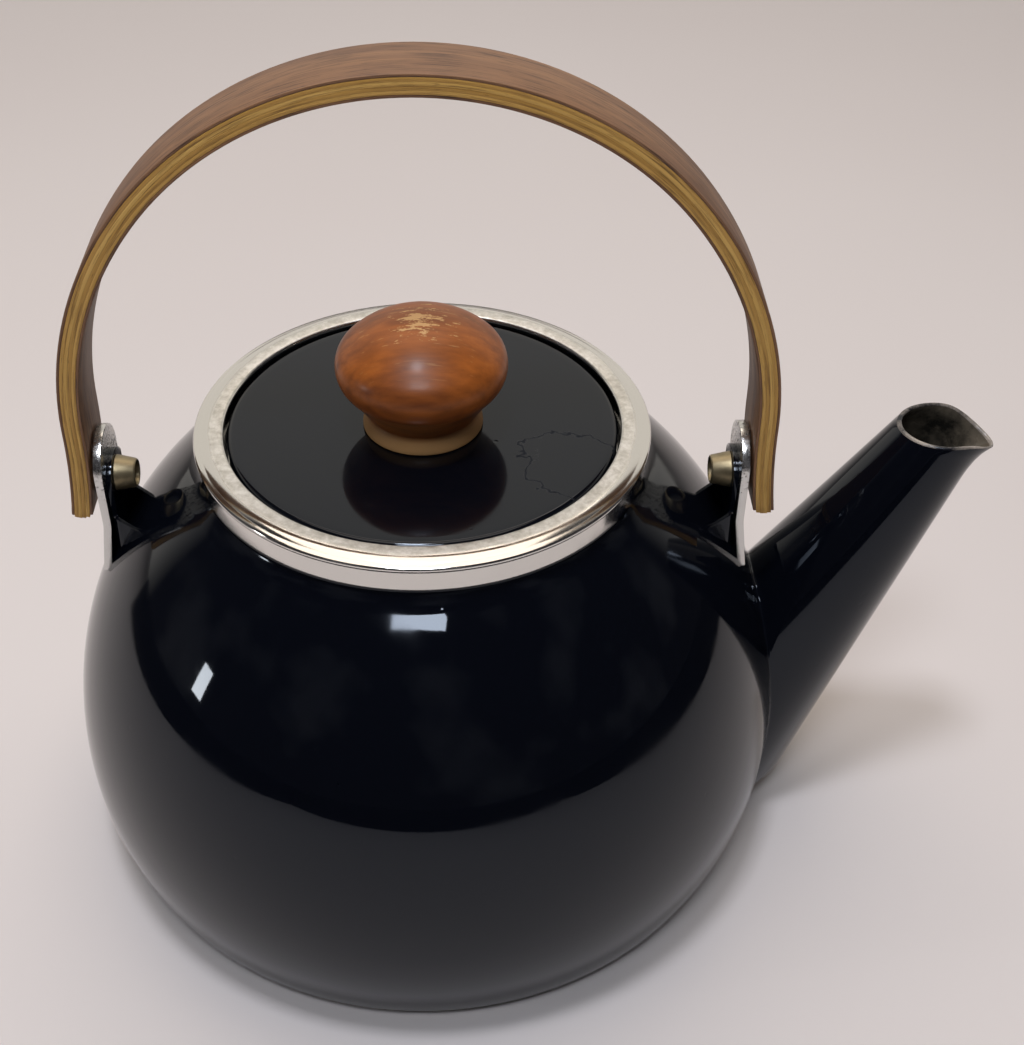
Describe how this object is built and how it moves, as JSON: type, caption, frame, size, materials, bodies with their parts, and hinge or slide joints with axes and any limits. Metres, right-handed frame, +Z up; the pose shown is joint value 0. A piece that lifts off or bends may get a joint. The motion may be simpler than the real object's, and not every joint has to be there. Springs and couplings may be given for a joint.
{
  "type": "tea kettle",
  "caption": "Ball-shaped enamelled tea kettle with a straight tapered spout, drop-in lid with a turned knob and a laminated wooden swing handle.",
  "frame": {"origin": "centre of the foot ring, on the table plane", "axes": "+Z up, +X towards the spout, the handle spans X and tilts about X"},
  "size_m": [0.2545, 0.2026, 0.2301],
  "materials": {
    "enamel": "black glossy vitreous enamel on steel",
    "ring_steel": "polished steel, worn matt on top",
    "knob_wood": "turned and varnished, chipped",
    "zinc_steel": "zinc plated",
    "plated_strap": "nickel plated, worn",
    "aged_brass": "dull, aged",
    "fibre": "dark fibre",
    "face_veneer": "stained and varnished",
    "core_veneer": "varnished edge grain"
  },
  "bodies": {
    "kettle_body": {"body_shell": "enamel", "base_pan": "enamel", "spout": "enamel", "ear_left": "enamel", "ear_right": "enamel", "mouth_ring": "ring_steel", "strap_left": "plated_strap", "strap_right": "plated_strap", "pivot_bolt_left": "zinc_steel", "pivot_bolt_right": "zinc_steel", "barrel_nut_left": "aged_brass", "barrel_nut_right": "aged_brass", "pivot_washer_left": "fibre", "pivot_washer_right": "fibre"},
    "lid": {"lid_disc": "enamel", "knob": "knob_wood", "knob_washer": "zinc_steel", "knob_screw": "zinc_steel"},
    "handle": {"ply_face_outer": "face_veneer", "ply_core_1": "core_veneer", "ply_core_2": "core_veneer", "ply_core_3": "core_veneer", "ply_core_4": "core_veneer", "ply_face_inner": "face_veneer"}
  },
  "joints": [
    {"name": "handle_tilt", "type": "hinge", "parent": "kettle_body", "child": "handle", "pos_m": [0, 0, 0.11448], "axis": [1, 0, 0], "range_deg": [-90, 90]},
    {"name": "lid_lift", "type": "slide", "parent": "kettle_body", "child": "lid", "axis": [0, 0, 1], "range_m": [0, 0.05]}
  ]
}
